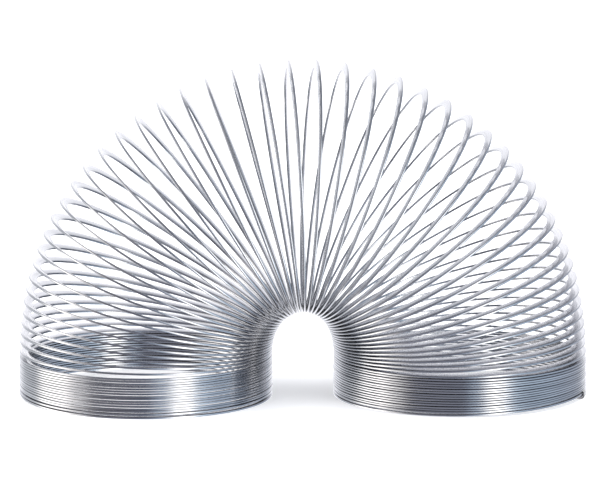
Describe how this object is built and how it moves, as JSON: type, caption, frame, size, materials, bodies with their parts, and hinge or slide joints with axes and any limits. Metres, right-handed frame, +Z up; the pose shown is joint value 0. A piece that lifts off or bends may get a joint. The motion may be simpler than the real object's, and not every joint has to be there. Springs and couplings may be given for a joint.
{
  "type": "spring coil toy",
  "caption": "Flat steel wire wound into a soft coil that stands as an arch on its closed ends and bends turn by turn between them.",
  "frame": {"origin": "on the desk at the middle of the arch: centre of the bounding box, at its bottom", "axes": "+Z up, +X along the arch from the left stack to the right one, +Y across the coil, away from the viewer"},
  "size_m": [0.1568, 0.07, 0.0931],
  "materials": {
    "coil_steel": "bright rolled flat wire with fine lengthwise draw marks",
    "crimp_steel": "bright folded strip, slightly warmer"
  },
  "bodies": {
    "left_stack": {"left_stack": "coil_steel", "left_end_crimp": "crimp_steel"},
    "turn_01": {"arch_turn_01": "coil_steel"},
    "turn_02": {"arch_turn_02": "coil_steel"},
    "turn_03": {"arch_turn_03": "coil_steel"},
    "turn_04": {"arch_turn_04": "coil_steel"},
    "turn_05": {"arch_turn_05": "coil_steel"},
    "turn_06": {"arch_turn_06": "coil_steel"},
    "turn_07": {"arch_turn_07": "coil_steel"},
    "turn_08": {"arch_turn_08": "coil_steel"},
    "turn_09": {"arch_turn_09": "coil_steel"},
    "turn_10": {"arch_turn_10": "coil_steel"},
    "turn_11": {"arch_turn_11": "coil_steel"},
    "turn_12": {"arch_turn_12": "coil_steel"},
    "turn_13": {"arch_turn_13": "coil_steel"},
    "turn_14": {"arch_turn_14": "coil_steel"},
    "turn_15": {"arch_turn_15": "coil_steel"},
    "turn_16": {"arch_turn_16": "coil_steel"},
    "turn_17": {"arch_turn_17": "coil_steel"},
    "turn_18": {"arch_turn_18": "coil_steel"},
    "turn_19": {"arch_turn_19": "coil_steel"},
    "turn_20": {"arch_turn_20": "coil_steel"},
    "turn_21": {"arch_turn_21": "coil_steel"},
    "turn_22": {"arch_turn_22": "coil_steel"},
    "turn_23": {"arch_turn_23": "coil_steel"},
    "turn_24": {"arch_turn_24": "coil_steel"},
    "turn_25": {"arch_turn_25": "coil_steel"},
    "turn_26": {"arch_turn_26": "coil_steel"},
    "turn_27": {"arch_turn_27": "coil_steel"},
    "turn_28": {"arch_turn_28": "coil_steel"},
    "turn_29": {"arch_turn_29": "coil_steel"},
    "turn_30": {"arch_turn_30": "coil_steel"},
    "turn_31": {"arch_turn_31": "coil_steel"},
    "turn_32": {"arch_turn_32": "coil_steel"},
    "turn_33": {"arch_turn_33": "coil_steel"},
    "turn_34": {"arch_turn_34": "coil_steel"},
    "turn_35": {"arch_turn_35": "coil_steel"},
    "turn_36": {"arch_turn_36": "coil_steel"},
    "turn_37": {"arch_turn_37": "coil_steel"},
    "turn_38": {"arch_turn_38": "coil_steel"},
    "turn_39": {"arch_turn_39": "coil_steel"},
    "turn_40": {"arch_turn_40": "coil_steel"},
    "turn_41": {"arch_turn_41": "coil_steel"},
    "turn_42": {"arch_turn_42": "coil_steel"},
    "turn_43": {"arch_turn_43": "coil_steel"},
    "turn_44": {"arch_turn_44": "coil_steel"},
    "turn_45": {"arch_turn_45": "coil_steel"},
    "turn_46": {"arch_turn_46": "coil_steel"},
    "turn_47": {"arch_turn_47": "coil_steel"},
    "turn_48": {"arch_turn_48": "coil_steel"},
    "right_stack": {"right_stack": "coil_steel", "right_end_crimp": "crimp_steel"}
  },
  "joints": [
    {"name": "bend_01", "type": "hinge", "parent": "left_stack", "child": "turn_01", "pos_m": [-0.00967, 0, 0.01102], "axis": [0, 1, 0], "range_deg": [-0.507, 0], "stiffness_Nm_per_rad": 0.05, "springref_deg": -0.51},
    {"name": "bend_02", "type": "hinge", "parent": "turn_01", "child": "turn_02", "pos_m": [-0.00966, 0, 0.01171], "axis": [0, 1, 0], "range_deg": [-1.57, 0], "stiffness_Nm_per_rad": 0.05, "springref_deg": -1.57},
    {"name": "bend_03", "type": "hinge", "parent": "turn_02", "child": "turn_03", "pos_m": [-0.00963, 0, 0.0124], "axis": [0, 1, 0], "range_deg": [-1.63, 0], "stiffness_Nm_per_rad": 0.05, "springref_deg": -1.63},
    {"name": "bend_04", "type": "hinge", "parent": "turn_03", "child": "turn_04", "pos_m": [-0.00958, 0, 0.01309], "axis": [0, 1, 0], "range_deg": [-1.72, 0], "stiffness_Nm_per_rad": 0.05, "springref_deg": -1.72},
    {"name": "bend_05", "type": "hinge", "parent": "turn_04", "child": "turn_05", "pos_m": [-0.00951, 0, 0.01379], "axis": [0, 1, 0], "range_deg": [-1.85, 0], "stiffness_Nm_per_rad": 0.05, "springref_deg": -1.85},
    {"name": "bend_06", "type": "hinge", "parent": "turn_05", "child": "turn_06", "pos_m": [-0.00942, 0, 0.01449], "axis": [0, 1, 0], "range_deg": [-2.01, 0], "stiffness_Nm_per_rad": 0.05, "springref_deg": -2.01},
    {"name": "bend_07", "type": "hinge", "parent": "turn_06", "child": "turn_07", "pos_m": [-0.0093, 0, 0.01519], "axis": [0, 1, 0], "range_deg": [-2.2, 0], "stiffness_Nm_per_rad": 0.05, "springref_deg": -2.2},
    {"name": "bend_08", "type": "hinge", "parent": "turn_07", "child": "turn_08", "pos_m": [-0.00915, 0, 0.01589], "axis": [0, 1, 0], "range_deg": [-2.41, 0], "stiffness_Nm_per_rad": 0.05, "springref_deg": -2.41},
    {"name": "bend_09", "type": "hinge", "parent": "turn_08", "child": "turn_09", "pos_m": [-0.00898, 0, 0.01659], "axis": [0, 1, 0], "range_deg": [-2.65, 0], "stiffness_Nm_per_rad": 0.05, "springref_deg": -2.65},
    {"name": "bend_10", "type": "hinge", "parent": "turn_09", "child": "turn_10", "pos_m": [-0.00877, 0, 0.0173], "axis": [0, 1, 0], "range_deg": [-2.91, 0], "stiffness_Nm_per_rad": 0.05, "springref_deg": -2.91},
    {"name": "bend_11", "type": "hinge", "parent": "turn_10", "child": "turn_11", "pos_m": [-0.00851, 0, 0.018], "axis": [0, 1, 0], "range_deg": [-3.18, 0], "stiffness_Nm_per_rad": 0.05, "springref_deg": -3.18},
    {"name": "bend_12", "type": "hinge", "parent": "turn_11", "child": "turn_12", "pos_m": [-0.00822, 0, 0.01869], "axis": [0, 1, 0], "range_deg": [-3.46, 0], "stiffness_Nm_per_rad": 0.05, "springref_deg": -3.46},
    {"name": "bend_13", "type": "hinge", "parent": "turn_12", "child": "turn_13", "pos_m": [-0.00788, 0, 0.01937], "axis": [0, 1, 0], "range_deg": [-3.75, 0], "stiffness_Nm_per_rad": 0.05, "springref_deg": -3.75},
    {"name": "bend_14", "type": "hinge", "parent": "turn_13", "child": "turn_14", "pos_m": [-0.00749, 0, 0.02005], "axis": [0, 1, 0], "range_deg": [-4.04, 0], "stiffness_Nm_per_rad": 0.05, "springref_deg": -4.04},
    {"name": "bend_15", "type": "hinge", "parent": "turn_14", "child": "turn_15", "pos_m": [-0.00705, 0, 0.0207], "axis": [0, 1, 0], "range_deg": [-4.32, 0], "stiffness_Nm_per_rad": 0.05, "springref_deg": -4.32},
    {"name": "bend_16", "type": "hinge", "parent": "turn_15", "child": "turn_16", "pos_m": [-0.00656, 0, 0.02132], "axis": [0, 1, 0], "range_deg": [-4.59, 0], "stiffness_Nm_per_rad": 0.05, "springref_deg": -4.59},
    {"name": "bend_17", "type": "hinge", "parent": "turn_16", "child": "turn_17", "pos_m": [-0.00601, 0, 0.02191], "axis": [0, 1, 0], "range_deg": [-4.85, 0], "stiffness_Nm_per_rad": 0.05, "springref_deg": -4.85},
    {"name": "bend_18", "type": "hinge", "parent": "turn_17", "child": "turn_18", "pos_m": [-0.0054, 0, 0.02245], "axis": [0, 1, 0], "range_deg": [-5.09, 0], "stiffness_Nm_per_rad": 0.05, "springref_deg": -5.09},
    {"name": "bend_19", "type": "hinge", "parent": "turn_18", "child": "turn_19", "pos_m": [-0.00475, 0, 0.02295], "axis": [0, 1, 0], "range_deg": [-5.3, 0], "stiffness_Nm_per_rad": 0.05, "springref_deg": -5.3},
    {"name": "bend_20", "type": "hinge", "parent": "turn_19", "child": "turn_20", "pos_m": [-0.00404, 0, 0.02338], "axis": [0, 1, 0], "range_deg": [-5.49, 0], "stiffness_Nm_per_rad": 0.05, "springref_deg": -5.49},
    {"name": "bend_21", "type": "hinge", "parent": "turn_20", "child": "turn_21", "pos_m": [-0.00329, 0, 0.02375], "axis": [0, 1, 0], "range_deg": [-5.65, 0], "stiffness_Nm_per_rad": 0.05, "springref_deg": -5.65},
    {"name": "bend_22", "type": "hinge", "parent": "turn_21", "child": "turn_22", "pos_m": [-0.0025, 0, 0.02405], "axis": [0, 1, 0], "range_deg": [-5.78, 0], "stiffness_Nm_per_rad": 0.05, "springref_deg": -5.78},
    {"name": "bend_23", "type": "hinge", "parent": "turn_22", "child": "turn_23", "pos_m": [-0.00169, 0, 0.02426], "axis": [0, 1, 0], "range_deg": [-5.87, 0], "stiffness_Nm_per_rad": 0.05, "springref_deg": -5.87},
    {"name": "bend_24", "type": "hinge", "parent": "turn_23", "child": "turn_24", "pos_m": [-0.00085, 0, 0.0244], "axis": [0, 1, 0], "range_deg": [-5.93, 0], "stiffness_Nm_per_rad": 0.05, "springref_deg": -5.93},
    {"name": "bend_25", "type": "hinge", "parent": "turn_24", "child": "turn_25", "pos_m": [0, 0, 0.02444], "axis": [0, 1, 0], "range_deg": [-5.95, 0], "stiffness_Nm_per_rad": 0.05, "springref_deg": -5.95},
    {"name": "bend_26", "type": "hinge", "parent": "turn_25", "child": "turn_26", "pos_m": [0.00085, 0, 0.0244], "axis": [0, 1, 0], "range_deg": [-5.93, 0], "stiffness_Nm_per_rad": 0.05, "springref_deg": -5.93},
    {"name": "bend_27", "type": "hinge", "parent": "turn_26", "child": "turn_27", "pos_m": [0.00169, 0, 0.02426], "axis": [0, 1, 0], "range_deg": [-5.87, 0], "stiffness_Nm_per_rad": 0.05, "springref_deg": -5.87},
    {"name": "bend_28", "type": "hinge", "parent": "turn_27", "child": "turn_28", "pos_m": [0.0025, 0, 0.02405], "axis": [0, 1, 0], "range_deg": [-5.78, 0], "stiffness_Nm_per_rad": 0.05, "springref_deg": -5.78},
    {"name": "bend_29", "type": "hinge", "parent": "turn_28", "child": "turn_29", "pos_m": [0.00329, 0, 0.02375], "axis": [0, 1, 0], "range_deg": [-5.65, 0], "stiffness_Nm_per_rad": 0.05, "springref_deg": -5.65},
    {"name": "bend_30", "type": "hinge", "parent": "turn_29", "child": "turn_30", "pos_m": [0.00404, 0, 0.02338], "axis": [0, 1, 0], "range_deg": [-5.49, 0], "stiffness_Nm_per_rad": 0.05, "springref_deg": -5.49},
    {"name": "bend_31", "type": "hinge", "parent": "turn_30", "child": "turn_31", "pos_m": [0.00475, 0, 0.02295], "axis": [0, 1, 0], "range_deg": [-5.3, 0], "stiffness_Nm_per_rad": 0.05, "springref_deg": -5.3},
    {"name": "bend_32", "type": "hinge", "parent": "turn_31", "child": "turn_32", "pos_m": [0.0054, 0, 0.02245], "axis": [0, 1, 0], "range_deg": [-5.09, 0], "stiffness_Nm_per_rad": 0.05, "springref_deg": -5.09},
    {"name": "bend_33", "type": "hinge", "parent": "turn_32", "child": "turn_33", "pos_m": [0.00601, 0, 0.02191], "axis": [0, 1, 0], "range_deg": [-4.85, 0], "stiffness_Nm_per_rad": 0.05, "springref_deg": -4.85},
    {"name": "bend_34", "type": "hinge", "parent": "turn_33", "child": "turn_34", "pos_m": [0.00656, 0, 0.02132], "axis": [0, 1, 0], "range_deg": [-4.59, 0], "stiffness_Nm_per_rad": 0.05, "springref_deg": -4.59},
    {"name": "bend_35", "type": "hinge", "parent": "turn_34", "child": "turn_35", "pos_m": [0.00705, 0, 0.0207], "axis": [0, 1, 0], "range_deg": [-4.32, 0], "stiffness_Nm_per_rad": 0.05, "springref_deg": -4.32},
    {"name": "bend_36", "type": "hinge", "parent": "turn_35", "child": "turn_36", "pos_m": [0.00749, 0, 0.02005], "axis": [0, 1, 0], "range_deg": [-4.04, 0], "stiffness_Nm_per_rad": 0.05, "springref_deg": -4.04},
    {"name": "bend_37", "type": "hinge", "parent": "turn_36", "child": "turn_37", "pos_m": [0.00788, 0, 0.01937], "axis": [0, 1, 0], "range_deg": [-3.75, 0], "stiffness_Nm_per_rad": 0.05, "springref_deg": -3.75},
    {"name": "bend_38", "type": "hinge", "parent": "turn_37", "child": "turn_38", "pos_m": [0.00822, 0, 0.01869], "axis": [0, 1, 0], "range_deg": [-3.46, 0], "stiffness_Nm_per_rad": 0.05, "springref_deg": -3.46},
    {"name": "bend_39", "type": "hinge", "parent": "turn_38", "child": "turn_39", "pos_m": [0.00851, 0, 0.018], "axis": [0, 1, 0], "range_deg": [-3.18, 0], "stiffness_Nm_per_rad": 0.05, "springref_deg": -3.18},
    {"name": "bend_40", "type": "hinge", "parent": "turn_39", "child": "turn_40", "pos_m": [0.00877, 0, 0.0173], "axis": [0, 1, 0], "range_deg": [-2.91, 0], "stiffness_Nm_per_rad": 0.05, "springref_deg": -2.91},
    {"name": "bend_41", "type": "hinge", "parent": "turn_40", "child": "turn_41", "pos_m": [0.00898, 0, 0.01659], "axis": [0, 1, 0], "range_deg": [-2.65, 0], "stiffness_Nm_per_rad": 0.05, "springref_deg": -2.65},
    {"name": "bend_42", "type": "hinge", "parent": "turn_41", "child": "turn_42", "pos_m": [0.00915, 0, 0.01589], "axis": [0, 1, 0], "range_deg": [-2.41, 0], "stiffness_Nm_per_rad": 0.05, "springref_deg": -2.41},
    {"name": "bend_43", "type": "hinge", "parent": "turn_42", "child": "turn_43", "pos_m": [0.0093, 0, 0.01519], "axis": [0, 1, 0], "range_deg": [-2.2, 0], "stiffness_Nm_per_rad": 0.05, "springref_deg": -2.2},
    {"name": "bend_44", "type": "hinge", "parent": "turn_43", "child": "turn_44", "pos_m": [0.00942, 0, 0.01449], "axis": [0, 1, 0], "range_deg": [-2.01, 0], "stiffness_Nm_per_rad": 0.05, "springref_deg": -2.01},
    {"name": "bend_45", "type": "hinge", "parent": "turn_44", "child": "turn_45", "pos_m": [0.00951, 0, 0.01379], "axis": [0, 1, 0], "range_deg": [-1.85, 0], "stiffness_Nm_per_rad": 0.05, "springref_deg": -1.85},
    {"name": "bend_46", "type": "hinge", "parent": "turn_45", "child": "turn_46", "pos_m": [0.00958, 0, 0.01309], "axis": [0, 1, 0], "range_deg": [-1.72, 0], "stiffness_Nm_per_rad": 0.05, "springref_deg": -1.72},
    {"name": "bend_47", "type": "hinge", "parent": "turn_46", "child": "turn_47", "pos_m": [0.00963, 0, 0.0124], "axis": [0, 1, 0], "range_deg": [-1.63, 0], "stiffness_Nm_per_rad": 0.05, "springref_deg": -1.63},
    {"name": "bend_48", "type": "hinge", "parent": "turn_47", "child": "turn_48", "pos_m": [0.00966, 0, 0.01171], "axis": [0, 1, 0], "range_deg": [-1.57, 0], "stiffness_Nm_per_rad": 0.05, "springref_deg": -1.57},
    {"name": "bend_49", "type": "hinge", "parent": "turn_48", "child": "right_stack", "pos_m": [0.00967, 0, 0.01102], "axis": [0, 1, 0], "range_deg": [-0.507, 0], "stiffness_Nm_per_rad": 0.05, "springref_deg": -0.51}
  ],
  "couplings": [
    {"joint": "bend_01", "follows": "bend_13", "ratio": 0.13517},
    {"joint": "bend_02", "follows": "bend_13", "ratio": 0.41939},
    {"joint": "bend_03", "follows": "bend_13", "ratio": 0.43432},
    {"joint": "bend_04", "follows": "bend_13", "ratio": 0.45896},
    {"joint": "bend_05", "follows": "bend_13", "ratio": 0.49283},
    {"joint": "bend_06", "follows": "bend_13", "ratio": 0.53539},
    {"joint": "bend_07", "follows": "bend_13", "ratio": 0.58589},
    {"joint": "bend_08", "follows": "bend_13", "ratio": 0.64349},
    {"joint": "bend_09", "follows": "bend_13", "ratio": 0.7072},
    {"joint": "bend_10", "follows": "bend_13", "ratio": 0.77589},
    {"joint": "bend_11", "follows": "bend_13", "ratio": 0.84843},
    {"joint": "bend_12", "follows": "bend_13", "ratio": 0.92357},
    {"joint": "bend_14", "follows": "bend_13", "ratio": 1.0764},
    {"joint": "bend_15", "follows": "bend_13", "ratio": 1.1516},
    {"joint": "bend_16", "follows": "bend_13", "ratio": 1.2241},
    {"joint": "bend_17", "follows": "bend_13", "ratio": 1.2928},
    {"joint": "bend_18", "follows": "bend_13", "ratio": 1.3565},
    {"joint": "bend_19", "follows": "bend_13", "ratio": 1.4141},
    {"joint": "bend_20", "follows": "bend_13", "ratio": 1.4646},
    {"joint": "bend_21", "follows": "bend_13", "ratio": 1.5072},
    {"joint": "bend_22", "follows": "bend_13", "ratio": 1.541},
    {"joint": "bend_23", "follows": "bend_13", "ratio": 1.5657},
    {"joint": "bend_24", "follows": "bend_13", "ratio": 1.5806},
    {"joint": "bend_25", "follows": "bend_37", "ratio": 1.5856},
    {"joint": "bend_26", "follows": "bend_37", "ratio": 1.5806},
    {"joint": "bend_27", "follows": "bend_37", "ratio": 1.5657},
    {"joint": "bend_28", "follows": "bend_37", "ratio": 1.541},
    {"joint": "bend_29", "follows": "bend_37", "ratio": 1.5072},
    {"joint": "bend_30", "follows": "bend_37", "ratio": 1.4646},
    {"joint": "bend_31", "follows": "bend_37", "ratio": 1.4141},
    {"joint": "bend_32", "follows": "bend_37", "ratio": 1.3565},
    {"joint": "bend_33", "follows": "bend_37", "ratio": 1.2928},
    {"joint": "bend_34", "follows": "bend_37", "ratio": 1.2241},
    {"joint": "bend_35", "follows": "bend_37", "ratio": 1.1516},
    {"joint": "bend_36", "follows": "bend_37", "ratio": 1.0764},
    {"joint": "bend_38", "follows": "bend_37", "ratio": 0.92357},
    {"joint": "bend_39", "follows": "bend_37", "ratio": 0.84843},
    {"joint": "bend_40", "follows": "bend_37", "ratio": 0.77589},
    {"joint": "bend_41", "follows": "bend_37", "ratio": 0.7072},
    {"joint": "bend_42", "follows": "bend_37", "ratio": 0.64349},
    {"joint": "bend_43", "follows": "bend_37", "ratio": 0.58589},
    {"joint": "bend_44", "follows": "bend_37", "ratio": 0.53539},
    {"joint": "bend_45", "follows": "bend_37", "ratio": 0.49283},
    {"joint": "bend_46", "follows": "bend_37", "ratio": 0.45896},
    {"joint": "bend_47", "follows": "bend_37", "ratio": 0.43432},
    {"joint": "bend_48", "follows": "bend_37", "ratio": 0.41939},
    {"joint": "bend_49", "follows": "bend_37", "ratio": 0.13517}
  ]
}
